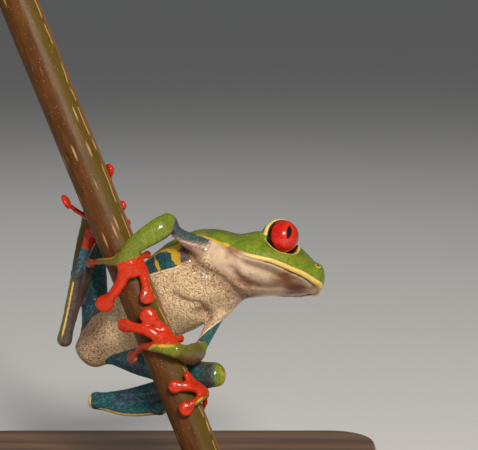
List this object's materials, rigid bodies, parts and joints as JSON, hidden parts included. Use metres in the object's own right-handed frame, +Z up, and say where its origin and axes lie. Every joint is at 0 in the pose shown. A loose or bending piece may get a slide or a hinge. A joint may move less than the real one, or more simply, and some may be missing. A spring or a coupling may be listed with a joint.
{
  "type": "red-eyed tree frog model on a stem",
  "caption": "Life-size red-eyed tree frog gripping a short cut stem head outward, held by a pin on a flat display base.",
  "frame": {"origin": "on the floor under the middle of the display base", "axes": "+Z up; +X is the way the frog faces, along the base's long side; the frog's right side and belly face -Y"},
  "size_m": [0.084, 0.066, 0.0994],
  "materials": {
    "skin": "moist green skin, cream belly and throat, blue flanks and limbs with yellow bars",
    "hands": "moist orange-red hands and feet",
    "eyes": "clear wet gloss over a red iris with a black vertical pupil",
    "stem": "smooth brown-olive bark with pale flecks",
    "rod": "brushed pin with a turned collar",
    "base": "dark stained, satin lacquer"
  },
  "bodies": {
    "root": {"head": "skin", "trunk": "skin", "arm_right_upper": "skin", "arm_right_fore": "skin", "arm_left_upper": "skin", "arm_left_fore": "skin", "leg_right_thigh": "skin", "leg_right_shank": "skin", "leg_right_tarsus": "skin", "leg_left_thigh": "skin", "leg_left_shank": "skin", "leg_left_tarsus": "skin", "hand_right": "hands", "hand_left": "hands", "foot_right": "hands", "foot_left": "hands", "eye_right": "eyes", "eye_left": "eyes", "perch_stem": "stem", "stand_rod": "rod", "stand_base": "base"}
  },
  "joints": []
}
